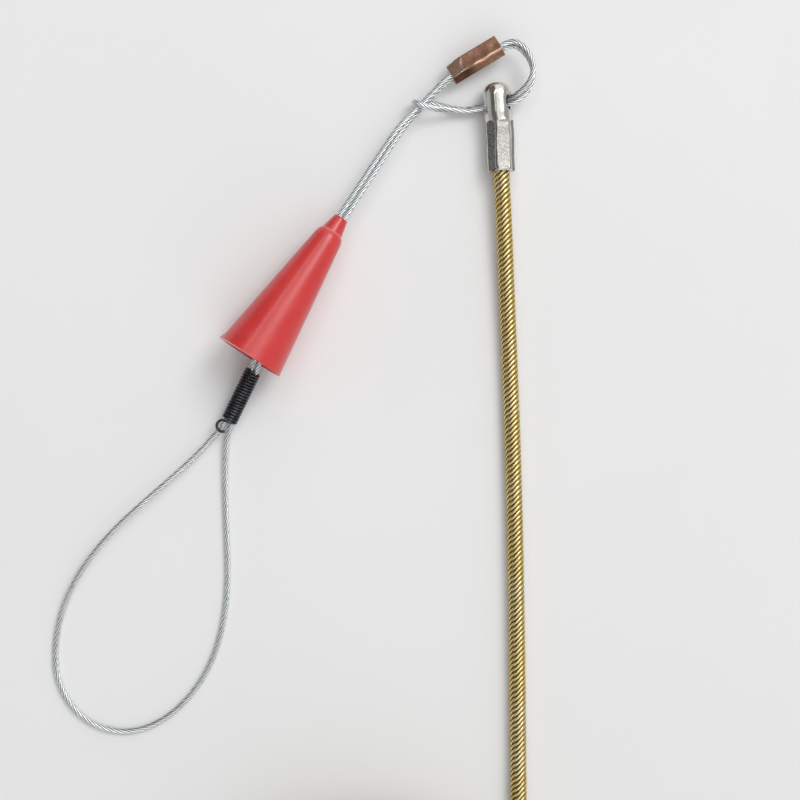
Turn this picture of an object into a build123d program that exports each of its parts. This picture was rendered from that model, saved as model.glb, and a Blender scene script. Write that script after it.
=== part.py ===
from build123d import *
import math
import os

os.makedirs("parts", exist_ok=True)

# A cable puller: a flexible steel cable with a crimped eye fitting, and a wire rope snare hitched
# through the eye. The rope carries a ferrule, a sliding guide cone and a sliding lock spring.
# Millimetres, +Z up. Everything lies on the plane Z = 0. The origin is at the middle of the
# footprint of the fitting and the sling; the cable runs along -Y to its stored coil.

# ---- driving dimensions ----
CABLE_D = 4.5
ROPE_D = 1.5
PAIR_GAP = 1.56            # centre distance of the two rope strands where they run as a pair

FITTING_LENGTH = 24.7
NOSE_D = 8.0
BODY_D = 7.7
OPEN_END_CHAMFER = 0.3
CRIMP_LENGTH = 14.4
CRIMP_FLATS = 6.95         # across the flats of the pressed hexagon
CRIMP_ROLL = 41.0          # degrees: one flat faces nearly straight up
CRIMP_RUN_OUT = 1.0        # length of the slope where a flat meets the round part
NOSE_TAPER = 1.4           # length over which the crimped end widens to the nose
EYE_D = 4.4
EYE_FROM_BASE = 18.8
EYE_THROAT = 2.3           # half the length of the eye's straight part
EYE_MOUTH_R = 0.5          # radius of the flare at each mouth
EYE_MOUTH_SWEEP = 70.0     # degrees that the flare turns through
EYE_ROLL = 17.0            # degrees: the eye's right mouth is tipped up
ROPE_RISE = 20.0           # degrees: the rope pair climbs through the eye to the right
ROPE_YAW = 6.2             # degrees in plan between the rope pair and the eye's own axis
CABLE_BORE_DEPTH = 13.0
BORE_PLAY = 0.04           # added to the diameter of a bore that holds a cable or a rope
FITTING_BASE = Vector(57.45, 58.4, 4.0)
FITTING_HEADING = 93.3     # degrees from +X, base to nose

CONE_LENGTH = 45.6
CONE_BASE_D = 19.0
CONE_WALL = 1.1
CONE_SHOULDER = (39.3, 7.9)    # distance from the base, diameter
NOZZLE_ROOT = (41.0, 6.1)
NOZZLE_TIP_D = 3.8
CONE_BORE_D = 3.2
CONE_INNER_STEP = (1.2, 1.0)   # the inside ends this far below the shoulder, then narrows
RIM_EDGE = 0.15                # chamfer on the rim's outer edge
SHOULDER_ROUND = (0.27, 1.1)   # middle of the rounded shoulder: in, and up, from its lower edge
NOZZLE_EDGE = (0.1, 0.2)       # chamfer at the nozzle's tip: in, and down
CONE_BASE_CENTRE = Vector(-11.33, 7.13, 9.55)
CONE_TIP = Vector(13.37, 45.27, 7.0)
NECK_BEND_FROM_TIP = 26.2      # where the rope pair bends, inside the cone
LIP_HALF_ANGLE = 17.0          # the lip that the mould's gate leaves on the rim
LIP_OUTLINE = [(-0.5, 0), (0.35, 0), (0.45, 0.5), (-0.3, 2.4), (-0.5, 2.4)]   # from the rim

SPRING_OD = 4.7
SPRING_WIRE = 0.75
SPRING_PITCH = 0.85
SPRING_TURNS = 18
SPRING_BOTTOM = Vector(-17.7, -10.02, 2.45)
HOOK_RADIUS = 1.6
HOOK_SHIFT = 0.8           # hook ring centre, to the side of the spring's axis
HOOK_DROP = 0.2            # from the spring's last turn to the top of the hook's ring
HOOK_SWEEP = 225.0
SPRING_EXIT = 0.8          # the rope pair runs on this far, straight, below the spring
SNARE_LEAD = 2.0           # then each strand runs on this far before it turns away

FERRULE_LENGTH = 15.7
FERRULE_LEFT = Vector(43.67, 84.59, 4.2)
FERRULE_RIGHT = Vector(57.13, 92.52, 5.0)
FERRULE_ROLL = 60.0        # roll of the rope pair inside the ferrule, degrees
FERRULE_LEAD = 1.2         # the pair runs on this far, straight, past the ferrule
FERRULE_EDGE = 0.12        # chamfer on its edges
# Its section, from the tube's middle, and how far the rope pair runs to the right of that.
FERRULE_OUTLINE = [(3.05, 1.15), (-1.0, 2.45), (-2.95, 0.1), (-1.6, -2.35), (1.5, -2.5), (3.15, -0.6)]
FERRULE_SHIFT = 0.4
FERRULE_TAPER = [(2.75, -1), (2.9, 0), (3.6, 4.5)]   # its left side: distance out, along

COIL_CENTRE = (19.3, -163.0)
COIL_COLUMNS = 6
COIL_LAYERS = 4
COIL_SPACING = 4.6
COIL_OUTER_TURN = 43.0     # radius of the outermost turn's centre line
TIE_THICK = 0.55
TIE_WIDTH = 4.0
TIE_ANGLES = (35.0, 155.0, 235.0)
TIE_GAP = 0.05             # round the outside, top and bottom of the stored turns
TIE_STAND_OFF = 0.15       # more than that on the curved inside
TIE_CORNERS = (0.1, 0.4)   # corner radii: less inside, and more outside, than the cable's own
TIE_CLEARANCE = 0.1        # below the ties, to the plane that the part lies on
FAR_FITTING_BASE = Vector(-38.0, -205.4, 4.0)
FAR_FITTING_HEADING = 180.0

# ---- helpers ----


def heading(deg, rise=0.0):
    """Unit vector at an angle from +X in plan, and an angle above the horizontal."""
    a = math.radians(deg)
    b = math.radians(rise)
    return Vector(math.cos(a) * math.cos(b), math.sin(a) * math.cos(b), math.sin(b))


def corner_radii(points):
    """The largest arc that each corner's two runs allow."""
    radii = []
    for a, b, c in zip(points, points[1:], points[2:]):
        turn = (b - a).get_angle(c - b)
        shorter = min((b - a).length, (c - b).length)
        radii.append(0.45 * shorter / math.tan(math.radians(turn / 2)))
    return radii


def tube(name, points, diameter):
    """A round bar along straight runs joined by tangent arcs."""
    points = [Vector(*p) for p in points]
    radii = corner_radii(points)
    path = FilletPolyline(*points, radius=radii)
    section = Plane(origin=path @ 0, z_dir=path % 0) * Circle(diameter / 2)
    bar = sweep(section, path=path)
    expected = math.pi * diameter**2 / 4 * path.length
    print(f"{name}: length {path.length:.1f}, volume {bar.volume:.1f}, expected {expected:.1f}")
    print("  arc radii", [round(r, 1) for r in radii])
    return bar


def pair_strand(stations, side):
    """One strand of a twisted pair: side is +1 or -1. Each station is (x, y, z, roll): at roll 0
    strand +1 lies to the left of the way along the stations, and a positive roll lifts it."""
    centres = [Vector(x, y, z) for x, y, z, roll in stations]
    strand = []
    for i, (x, y, z, roll) in enumerate(stations):
        along = (centres[min(i + 1, len(centres) - 1)] - centres[max(i - 1, 0)]).normalized()
        left = Vector(0, 0, 1).cross(along).normalized()
        up = along.cross(left)
        r = math.radians(roll)
        strand.append(centres[i] + (left * math.cos(r) + up * math.sin(r)) * (side * PAIR_GAP / 2))
    return strand


def along(base, direction, distance):
    return base + direction * distance


# ---- directions that several parts share ----
fitting_axis = heading(FITTING_HEADING)
eye_centre = along(FITTING_BASE, fitting_axis, EYE_FROM_BASE)
cone_axis = (CONE_TIP - CONE_BASE_CENTRE).normalized()
ferrule_axis = (FERRULE_RIGHT - FERRULE_LEFT).normalized()
neck_bend = along(CONE_TIP, cone_axis, -NECK_BEND_FROM_TIP)
spring_axis = (neck_bend - SPRING_BOTTOM).normalized()
eye_axis = heading(FITTING_HEADING - 90, EYE_ROLL)
eye_pair = heading(FITTING_HEADING - 90 + ROPE_YAW, ROPE_RISE)

# ---- the rope's route ----
# The pair from below the spring up through the cone to the ferrule: x, y, z, roll.
spring_exit = along(SPRING_BOTTOM, spring_axis, -SPRING_EXIT)
neck_pair = [
    (*spring_exit, 0),
    (*neck_bend, 0),
    (*along(CONE_TIP, cone_axis, -6), 3),
    (*along(CONE_TIP, cone_axis, 9), 11),
    (*along(CONE_TIP, cone_axis, 19), 28),
    (*along(CONE_TIP, cone_axis, 29), 48),
    (32.5, 73.5, 4.6, 66),
    (35.5, 76.7, 3.95, 78),
    (38.6, 79.9, 3.85, 78),
    (41.3, 82.7, 4.0, 70),
    (*FERRULE_LEFT, FERRULE_ROLL),
    (*along(FERRULE_LEFT, ferrule_axis, FERRULE_LENGTH / 2), FERRULE_ROLL),
]
# The pair from the ferrule round the fitting's nose and through its eye.
loop_pair = [
    (*along(FERRULE_LEFT, ferrule_axis, FERRULE_LENGTH / 2), FERRULE_ROLL),
    (*along(FERRULE_LEFT, ferrule_axis, FERRULE_LENGTH + FERRULE_LEAD), FERRULE_ROLL),
    (61.2, 93.5, 5.7, 46),
    (63.65, 91.7, 6.1, 54),
    (65.4, 89.0, 6.4, 72),
    (66.1, 85.9, 6.6, 92),
    (65.5, 82.9, 6.5, 114),
    (63.9, 80.4, 6.3, 138),
    (61.9, 78.75, 5.95, 164),
    (*along(eye_centre, eye_pair, 4.3), 188),
    (*along(eye_centre, eye_pair, 0.1), 210),
    (*along(eye_centre, eye_pair, -4.3), 232),
    (48.6, 75.7, 2.1, 248),
    (45.2, 75.8, 2.2, 252),
]
# The strands part in front of the neck pair: one goes over it, one under it, and they join in
# the bight on its far side.
bight_over = [(41.9, 75.5, 4.0), (39.4, 75.4, 5.4), (36.7, 75.9, 6.4), (33.35, 77.5, 6.3)]
bight_under = [(33.35, 77.8, 1.3), (36.9, 78.2, 1.35), (39.5, 77.6, 1.25), (42.0, 76.8, 1.3)]
# The snare, from the spring's left strand round to its right strand.
snare_loop = [
    (-21.85, -14.2, 1.85),
    (-25.55, -18.55, 2.1),
    (-32.85, -25.4, 2.9),
    (-41.95, -33.2, 3.5),
    (-50.8, -41.4, 3.2),
    (-58.25, -50.5, 2.2),
    (-63.75, -60.95, 1.2),
    (-66.2, -71.65, 0.8),
    (-65.85, -81.5, 0.78),
    (-61.85, -89.55, 0.78),
    (-54.7, -95.15, 0.78),
    (-45.4, -96.75, 0.78),
    (-36.1, -93.45, 0.78),
    (-28.1, -86.2, 0.78),
    (-22.15, -76.4, 0.78),
    (-18.95, -64.6, 0.78),
    (-18.1, -52.0, 0.78),
    (-18.7, -39.0, 0.78),
    (-19.05, -26.0, 0.9),
    (-18.75, -18.3, 1.5),
]

neck_left = pair_strand(neck_pair, +1)
neck_right = pair_strand(neck_pair, -1)
snare_start = along(neck_left[0], spring_axis, -SNARE_LEAD)
snare_end = along(neck_right[0], spring_axis, -SNARE_LEAD)
loop_a = pair_strand(loop_pair, +1)
loop_b = pair_strand(loop_pair, -1)

# ---- the cable's route ----
cable_start = along(FITTING_BASE, fitting_axis, CABLE_BORE_DEPTH)
coil_floor = TIE_THICK + TIE_CLEARANCE
coil_entry = Vector(COIL_CENTRE[0] + COIL_OUTER_TURN, COIL_CENTRE[1], coil_floor + CABLE_D / 2)
cable_route = [
    cable_start,
    (57.9, 50.2, 4.0),
    (58.55, 35.0, 3.1),
    (59.45, 14.0, 2.3),
    (60.75, -18.0, 2.3),
    (61.65, -56.0, 2.3),
    (62.15, -96.0, 2.35),
    (62.3, -130.0, 2.8),
    coil_entry,
]
coil_exit_z = coil_floor + CABLE_D / 2 + (COIL_LAYERS - 1) * COIL_SPACING
coil_exit = Vector(COIL_CENTRE[0], COIL_CENTRE[1] - COIL_OUTER_TURN, coil_exit_z)
far_axis = heading(FAR_FITTING_HEADING)
tail_route = [
    coil_exit,
    (4.0, -206.1, 15.6),
    (-9.0, -206.0, 11.2),
    (-20.0, -205.7, 5.6),
    (-31.0, -205.4, 4.0),
    along(FAR_FITTING_BASE, far_axis, CABLE_BORE_DEPTH),
]

# ---- parts ----


def make_fitting(base, axis, roll):
    """A bullet-nosed eye fitting, crimped on the cable: axis from its open end to its nose."""
    frame = Plane(origin=base, x_dir=Vector(0, 0, 1).cross(axis), z_dir=axis)
    nose_root = FITTING_LENGTH - NOSE_D / 2
    neck = CRIMP_LENGTH + NOSE_TAPER
    bore_r = (CABLE_D + BORE_PLAY) / 2
    with BuildSketch(Plane.XZ) as profile:
        with BuildLine():
            Polyline(
                (0, FITTING_LENGTH),
                (0, CABLE_BORE_DEPTH),
                (bore_r, CABLE_BORE_DEPTH),
                (bore_r, 0),
                (BODY_D / 2 - OPEN_END_CHAMFER, 0),
                (BODY_D / 2, OPEN_END_CHAMFER),
                (BODY_D / 2, CRIMP_LENGTH),
                (NOSE_D / 2, neck),
                (NOSE_D / 2, nose_root),
            )
            CenterArc((0, nose_root), NOSE_D / 2, 0, 90)
        make_face()
    body = revolve(profile.sketch, axis=Axis.Z)
    # The press leaves six flats on the crimped length, each running out in a slope.
    flat = CRIMP_FLATS / 2
    with BuildSketch(Plane.XZ) as press:
        with BuildLine():
            Polyline(
                (flat, -1),
                (BODY_D, -1),
                (BODY_D, CRIMP_LENGTH + 5 * CRIMP_RUN_OUT),
                (flat, CRIMP_LENGTH - CRIMP_RUN_OUT),
                close=True,
            )
        make_face()
    jaw = extrude(press.sketch, BODY_D, both=True)
    for k in range(6):
        body -= Rotation(0, 0, CRIMP_ROLL + 60 * k) * jaw
    # The eye widens to both mouths in a round flare.
    sweep_angle = math.radians(EYE_MOUTH_SWEEP)
    with BuildSketch(Plane.XZ) as flare:
        with BuildLine():
            Line((0, 0), (EYE_D / 2, 0))
            Line((EYE_D / 2, 0), (EYE_D / 2, EYE_THROAT))
            JernArc((EYE_D / 2, EYE_THROAT), (0, 1), EYE_MOUTH_R, -EYE_MOUTH_SWEEP)
            top = (EYE_D / 2 + EYE_MOUTH_R * (1 - math.cos(sweep_angle)), NOSE_D)
            Line((top[0], EYE_THROAT + EYE_MOUTH_R * math.sin(sweep_angle)), top)
            Polyline(top, (0, NOSE_D), (0, 0))
        make_face()
    half = revolve(flare.sketch, axis=Axis.Z)
    eye = half + Rotation(180, 0, 0) * half
    body -= Pos(0, 0, EYE_FROM_BASE) * Rotation(0, 0, -roll) * Rotation(0, 90, 0) * eye
    return frame.location * body


end_fitting = make_fitting(FITTING_BASE, fitting_axis, EYE_ROLL)
far_end_fitting = make_fitting(FAR_FITTING_BASE, far_axis, 90)


def make_ferrule():
    """A short copper tube pressed on the rope pair, with flat faces and one end tapered."""
    side = Vector(0, 0, 1).cross(ferrule_axis).normalized()
    frame = Plane(origin=FERRULE_LEFT, x_dir=side, z_dir=ferrule_axis)
    face = make_face(Polyline(*FERRULE_OUTLINE, close=True))
    body = Pos(FERRULE_SHIFT, 0, 0) * extrude(face, FERRULE_LENGTH)
    body = chamfer(body.edges(), FERRULE_EDGE)
    # The wedge that tapers it reaches past the tube on every other side.
    reach = 5.0
    first = FERRULE_TAPER[0]
    last = FERRULE_TAPER[-1]
    wedge = make_face(Polyline((reach, first[1]), *FERRULE_TAPER, (reach, last[1]), close=True))
    body -= Plane.XZ.offset(-reach).location * extrude(wedge, 2 * reach)
    for s in (+1, -1):
        r = math.radians(FERRULE_ROLL)
        centre = (s * PAIR_GAP / 2 * math.cos(r), s * PAIR_GAP / 2 * math.sin(r))
        body -= Pos(*centre, -1) * extrude(Circle((ROPE_D + BORE_PLAY) / 2), FERRULE_LENGTH + 2)
    return frame.location * body


ferrule = make_ferrule()


def make_cone():
    """A hollow moulded cone with a nozzle at its small end, open at its base."""
    frame = Plane(origin=CONE_BASE_CENTRE, x_dir=Vector(0, 0, 1).cross(cone_axis), z_dir=cone_axis)
    base_r = CONE_BASE_D / 2
    shoulder_s, shoulder_d = CONE_SHOULDER
    root_s, root_d = NOZZLE_ROOT
    step_down, step_length = CONE_INNER_STEP
    inner_end = shoulder_s - step_down
    inner_end_r = shoulder_d / 2 - CONE_WALL
    with BuildSketch(Plane.XZ) as profile:
        with BuildLine():
            Polyline(
                (base_r - CONE_WALL + RIM_EDGE, 0),
                (base_r - RIM_EDGE, 0),
                (base_r, RIM_EDGE),
                (shoulder_d / 2, shoulder_s),
            )
            ThreePointArc(
                (shoulder_d / 2, shoulder_s),
                (shoulder_d / 2 - SHOULDER_ROUND[0], shoulder_s + SHOULDER_ROUND[1]),
                (root_d / 2, root_s),
            )
            Polyline(
                (root_d / 2, root_s),
                (NOZZLE_TIP_D / 2 + NOZZLE_EDGE[0], CONE_LENGTH - NOZZLE_EDGE[1]),
                (NOZZLE_TIP_D / 2 - NOZZLE_EDGE[0], CONE_LENGTH),
                (CONE_BORE_D / 2, CONE_LENGTH),
                (CONE_BORE_D / 2, inner_end + step_length),
                (inner_end_r, inner_end),
                (base_r - CONE_WALL + RIM_EDGE, 0),
            )
        make_face()
    body = revolve(profile.sketch, axis=Axis.Z)
    # A short flared lip on one side of the rim, left by the mould's gate.
    with BuildSketch(Plane.XZ) as lip:
        with BuildLine():
            Polyline(*[(base_r + out, up) for out, up in LIP_OUTLINE], close=True)
        make_face()
    lip_arc = revolve(lip.sketch, axis=Axis.Z, revolution_arc=2 * LIP_HALF_ANGLE)
    body += Rotation(0, 0, -LIP_HALF_ANGLE) * lip_arc
    return frame.location * body


guide_cone = make_cone()


def make_spring():
    """A close-wound spring on the rope pair, with an open hook that lies above the pair."""
    # Seen from above, local x points to the right of the axis and local -y points up.
    right = spring_axis.cross(Vector(0, 0, 1)).normalized()
    frame = Plane(origin=SPRING_BOTTOM, x_dir=right, z_dir=spring_axis)
    r = (SPRING_OD - SPRING_WIRE) / 2
    helix = Rotation(0, 0, -90) * Helix(SPRING_PITCH, SPRING_PITCH * SPRING_TURNS, r)
    section = Plane(origin=helix @ 0, z_dir=helix % 0) * Circle(SPRING_WIRE / 2)
    coil = sweep(section, path=helix, is_frenet=True)
    ring_top = (-HOOK_SHIFT, -HOOK_DROP)
    ring_centre = (ring_top[0], ring_top[1] - HOOK_RADIUS)
    plane = Plane(origin=(0, -r, 0), x_dir=(1, 0, 0), z_dir=(0, -1, 0))
    lead = Line((0, 0), ring_top)
    ring = CenterArc(ring_centre, HOOK_RADIUS, 90, HOOK_SWEEP)
    hook_path = plane.location * (lead + ring)
    start = Plane(origin=hook_path @ 0, z_dir=hook_path % 0) * Circle(SPRING_WIRE / 2)
    hook = sweep(start, path=hook_path, transition=Transition.ROUND)
    joint = Pos(0, -r, 0) * Sphere(SPRING_WIRE / 2)
    return frame.location * (coil + joint + hook)


lock_spring = make_spring()


def make_coil():
    """The stored turns as one ring of their outer shape."""
    inner = COIL_OUTER_TURN - (COIL_COLUMNS - 1) * COIL_SPACING - CABLE_D / 2
    outer = COIL_OUTER_TURN + CABLE_D / 2
    height = (COIL_LAYERS - 1) * COIL_SPACING + CABLE_D
    ring = extrude(Circle(outer) - Circle(inner), height)
    ring = fillet(ring.edges(), CABLE_D / 2 - 0.05)
    return Pos(*COIL_CENTRE, coil_floor) * ring


cable_coil = make_coil()


def make_ties():
    """Three flat ties round the stored turns."""
    inner = COIL_OUTER_TURN - (COIL_COLUMNS - 1) * COIL_SPACING - CABLE_D / 2
    outer = COIL_OUTER_TURN + CABLE_D / 2
    height = (COIL_LAYERS - 1) * COIL_SPACING + CABLE_D
    # A flat tie stands off the curved inside of the ring at its edges.
    inner -= TIE_STAND_OFF
    wide = outer - inner + 2 * TIE_GAP
    high = height + 2 * TIE_GAP
    hole = RectangleRounded(wide, high, CABLE_D / 2 - TIE_CORNERS[0])
    rim_wide = wide + 2 * TIE_THICK
    rim = RectangleRounded(rim_wide, high + 2 * TIE_THICK, CABLE_D / 2 + TIE_CORNERS[1])
    band = extrude(Plane.XZ.location * (rim - hole), TIE_WIDTH / 2, both=True)
    ties = []
    for angle in TIE_ANGLES:
        at = Pos(*COIL_CENTRE, coil_floor + height / 2) * Rotation(0, 0, angle)
        ties.append(at * Pos((inner + outer) / 2, 0, 0) * band)
    return Compound(children=ties)


coil_ties = make_ties()

# ---- write one file per node ----
nodes = {
    "end_fitting": end_fitting,
    "cable_run": tube("cable_run", cable_route, CABLE_D),
    "cable_coil": cable_coil,
    "cable_tail": tube("cable_tail", tail_route, CABLE_D),
    "coil_ties": coil_ties,
    "far_end_fitting": far_end_fitting,
    "rope_neck_left": tube("rope_neck_left", neck_left, ROPE_D),
    "rope_neck_right": tube("rope_neck_right", neck_right, ROPE_D),
    "rope_snare": tube(
        "rope_snare",
        [neck_left[0], snare_start, *snare_loop, snare_end, neck_right[0]],
        ROPE_D,
    ),
    "rope_hitch": tube(
        "rope_hitch", [*loop_b, *bight_over, *bight_under, *reversed(loop_a)], ROPE_D
    ),
    "ferrule": ferrule,
    "guide_cone": guide_cone,
    "lock_spring": lock_spring,
}
for name, shape in nodes.items():
    export_step(shape, f"parts/{name}.step")
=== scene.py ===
"""A flexible cable with a crimped eye fitting and a wire rope snare: ferrule, cone and lock spring.

Everything is in metres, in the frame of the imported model. The cable and the rope follow the same
route points as the model, as smooth curves.
"""

import math

import bmesh
import bpy
from mathutils import Matrix, Vector, geometry, noise


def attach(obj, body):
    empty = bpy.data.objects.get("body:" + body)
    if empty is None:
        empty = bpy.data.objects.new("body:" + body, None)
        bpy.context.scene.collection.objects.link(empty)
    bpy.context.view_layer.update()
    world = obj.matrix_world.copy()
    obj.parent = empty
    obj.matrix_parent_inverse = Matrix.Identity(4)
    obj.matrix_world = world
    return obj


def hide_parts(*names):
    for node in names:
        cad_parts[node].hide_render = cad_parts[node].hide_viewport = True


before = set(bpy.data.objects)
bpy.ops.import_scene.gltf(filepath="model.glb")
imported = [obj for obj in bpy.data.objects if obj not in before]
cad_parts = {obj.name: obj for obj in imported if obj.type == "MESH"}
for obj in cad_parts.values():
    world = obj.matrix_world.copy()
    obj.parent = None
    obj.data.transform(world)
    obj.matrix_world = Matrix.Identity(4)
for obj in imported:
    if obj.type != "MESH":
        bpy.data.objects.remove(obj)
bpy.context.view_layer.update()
UP = Vector((0, 0, 1))

# ---- sizes shared with the model ----
CABLE_D = 0.0045
ROPE_D = 0.0015
PAIR_GAP = 0.00156
FITTING_BASE = Vector((0.05745, 0.0584, 0.004))
FITTING_HEADING = 93.3
FITTING_LENGTH = 0.0247
EYE_FROM_BASE = 0.0188
EYE_ROLL = 17.0
ROPE_RISE = 20.0
ROPE_YAW = 6.2
CABLE_BORE_DEPTH = 0.013
CONE_BASE_CENTRE = Vector((-0.01133, 0.00713, 0.00955))
CONE_TIP = Vector((0.01337, 0.04527, 0.007))
NECK_BEND_FROM_TIP = 0.0262
SPRING_BOTTOM = Vector((-0.0177, -0.01002, 0.00245))
FERRULE_LEFT = Vector((0.04367, 0.08459, 0.0042))
FERRULE_RIGHT = Vector((0.05713, 0.09252, 0.005))
FERRULE_LENGTH = 0.0157
FERRULE_ROLL = 60.0
FAR_FITTING_BASE = Vector((-0.038, -0.2054, 0.004))
COIL_CENTRE = Vector((0.0193, -0.163, 0))
COIL_OUTER_TURN = 0.043
COIL_SPACING = 0.0046
COIL_COLUMNS = 6
COIL_LAYERS = 4
COIL_FLOOR = 0.00065

# ---- sizes that only this script has ----
# The last turn leaves for the far end three quarters of a turn early.
COIL_TURNS = COIL_COLUMNS * COIL_LAYERS - 0.75
# How far a turn bulges past its neighbours where it climbs to the next layer.
COIL_SWELL = 0.0018
TIE_ANGLES = (35, 155, 235)
# The fitting's turned shape, in millimetres.
FITTING_BODY_R = 3.85
FITTING_NOSE_R = 4.0
FITTING_CRIMP_END = 14.4
FITTING_DOME_START = 20.7


def heading(deg, rise=0.0):
    """Unit vector at an angle from +X in plan, and an angle above the horizontal."""
    a, b = math.radians(deg), math.radians(rise)
    return Vector((math.cos(a) * math.cos(b), math.sin(a) * math.cos(b), math.sin(b)))


def along(base, direction, distance):
    return base + direction * distance


def smooth(t):
    """0 below 0, 1 above 1, and an even S-shaped rise between them."""
    t = min(1.0, max(0.0, t))
    return t * t * (3 - 2 * t)


def distances(points):
    """How far along a polyline each of its points is."""
    lengths = [0.0]
    for a, b in zip(points, points[1:]):
        lengths.append(lengths[-1] + (b - a).length)
    return lengths


def object_from(name, bm):
    """A new object with the mesh that bm holds."""
    mesh = bpy.data.meshes.new(name)
    bm.to_mesh(mesh)
    bm.free()
    obj = bpy.data.objects.new(name, mesh)
    bpy.context.collection.objects.link(obj)
    return obj


fitting_axis = heading(FITTING_HEADING)
eye_centre = along(FITTING_BASE, fitting_axis, EYE_FROM_BASE)
eye_pair = heading(FITTING_HEADING - 90 + ROPE_YAW, ROPE_RISE)
cone_axis = (CONE_TIP - CONE_BASE_CENTRE).normalized()
ferrule_axis = (FERRULE_RIGHT - FERRULE_LEFT).normalized()
neck_bend = along(CONE_TIP, cone_axis, -NECK_BEND_FROM_TIP)
spring_axis = (neck_bend - SPRING_BOTTOM).normalized()


# ---- camera ----


def make_camera():
    """A camera that looks straight down at what the photograph shows."""
    height, seen_width, sensor = 0.45, 0.2222, 36
    data = bpy.data.cameras.new("camera")
    cam = bpy.data.objects.new("camera", data)
    bpy.context.collection.objects.link(cam)
    cam.location = (0.0295, -0.0044, height)
    data.sensor_width = sensor
    data.lens = sensor * height / seen_width
    data.clip_start = 0.01
    bpy.context.scene.camera = cam


make_camera()

# ---- routes of the cords ----


def spline_points(controls):
    """Points along a smooth curve that has these control points."""
    data = bpy.data.curves.new("route", "CURVE")
    data.dimensions = "3D"
    spline = data.splines.new("NURBS")
    spline.points.add(len(controls) - 1)
    for point, place in zip(spline.points, controls):
        point.co = (*place, 1)
    spline.order_u = 3
    spline.use_endpoint_u = True
    spline.resolution_u = 12
    holder = bpy.data.objects.new("route", data)
    mesh = bpy.data.meshes.new_from_object(holder)
    points = [v.co.copy() for v in mesh.vertices]
    bpy.data.objects.remove(holder)
    bpy.data.curves.remove(data)
    bpy.data.meshes.remove(mesh)
    return points


def pair_strand(stations, side):
    """One strand of a twisted pair: side is +1 or -1. Each station is (place, roll): at roll 0
    strand +1 lies to the left of the way along the stations, and a positive roll lifts it."""
    centres = [Vector(place) for place, roll in stations]
    strand = []
    for i, (place, roll) in enumerate(stations):
        way = (centres[min(i + 1, len(centres) - 1)] - centres[max(i - 1, 0)]).normalized()
        left = UP.cross(way).normalized()
        up = way.cross(left)
        r = math.radians(roll)
        offset = left * math.cos(r) + up * math.sin(r)
        strand.append(centres[i] + offset * (side * PAIR_GAP / 2))
    return strand


def rope_route():
    """The whole rope, from the ferrule down the left strand, round the snare, up the right
    strand, through the ferrule, round the hitch and back into the ferrule."""
    ferrule_middle = along(FERRULE_LEFT, ferrule_axis, FERRULE_LENGTH / 2)
    neck_pair = [
        (along(SPRING_BOTTOM, spring_axis, -0.0008), 0),
        (along(neck_bend, spring_axis, -0.006), 0),
        (neck_bend, 0),
        (along(CONE_TIP, cone_axis, -0.006), 3),
        (along(CONE_TIP, cone_axis, 0.009), 11),
        (along(CONE_TIP, cone_axis, 0.019), 28),
        (along(CONE_TIP, cone_axis, 0.029), 48),
        ((0.0325, 0.0735, 0.0046), 66),
        ((0.0355, 0.0767, 0.00395), 78),
        ((0.0386, 0.0799, 0.00385), 78),
        ((0.0413, 0.0827, 0.004), 70),
        (FERRULE_LEFT, FERRULE_ROLL),
        (ferrule_middle, FERRULE_ROLL),
    ]
    loop_pair = [
        (ferrule_middle, FERRULE_ROLL),
        (along(FERRULE_LEFT, ferrule_axis, FERRULE_LENGTH + 0.0012), FERRULE_ROLL),
        ((0.0612, 0.0935, 0.0057), 46),
        ((0.06365, 0.0917, 0.0061), 54),
        ((0.0654, 0.0890, 0.0064), 72),
        ((0.0661, 0.0859, 0.0066), 92),
        ((0.0655, 0.0829, 0.0065), 114),
        ((0.0639, 0.0804, 0.0063), 138),
        ((0.0619, 0.07875, 0.00595), 164),
        (along(eye_centre, eye_pair, 0.0043), 188),
        (along(eye_centre, eye_pair, 0.0001), 210),
        (along(eye_centre, eye_pair, -0.0043), 232),
        ((0.0486, 0.0757, 0.0021), 248),
        ((0.0452, 0.0758, 0.0022), 252),
    ]
    bight = [
        (0.0419, 0.0755, 0.0040),
        (0.0394, 0.0754, 0.0054),
        (0.0367, 0.0759, 0.0064),
        (0.03335, 0.0775, 0.0063),
        (0.03335, 0.0778, 0.0013),
        (0.0369, 0.0782, 0.00135),
        (0.0395, 0.0776, 0.00125),
        (0.0420, 0.0768, 0.0013),
    ]
    snare = [
        (-0.02185, -0.0142, 0.00185),
        (-0.02555, -0.01855, 0.0021),
        (-0.03285, -0.0254, 0.0029),
        (-0.04195, -0.0332, 0.0035),
        (-0.0508, -0.0414, 0.0032),
        (-0.05825, -0.0505, 0.0022),
        (-0.06375, -0.06095, 0.0012),
        (-0.0662, -0.07165, 0.0008),
        (-0.06585, -0.0815, 0.00078),
        (-0.06185, -0.08955, 0.00078),
        (-0.0547, -0.09515, 0.00078),
        (-0.0454, -0.09675, 0.00078),
        (-0.0361, -0.09345, 0.00078),
        (-0.0281, -0.0862, 0.00078),
        (-0.02215, -0.0764, 0.00078),
        (-0.01895, -0.0646, 0.00078),
        (-0.0181, -0.0520, 0.00078),
        (-0.0187, -0.0390, 0.00078),
        (-0.01905, -0.0260, 0.0009),
        (-0.01875, -0.0183, 0.0015),
    ]
    left, right = pair_strand(neck_pair, +1), pair_strand(neck_pair, -1)
    loop_a, loop_b = pair_strand(loop_pair, +1), pair_strand(loop_pair, -1)
    down = list(reversed(left[1:])) + [along(left[0], spring_axis, -0.002)]
    up = [along(right[0], spring_axis, -0.002)] + right[1:-1]
    return down + snare + up + loop_b[1:] + bight + list(reversed(loop_a))


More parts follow.
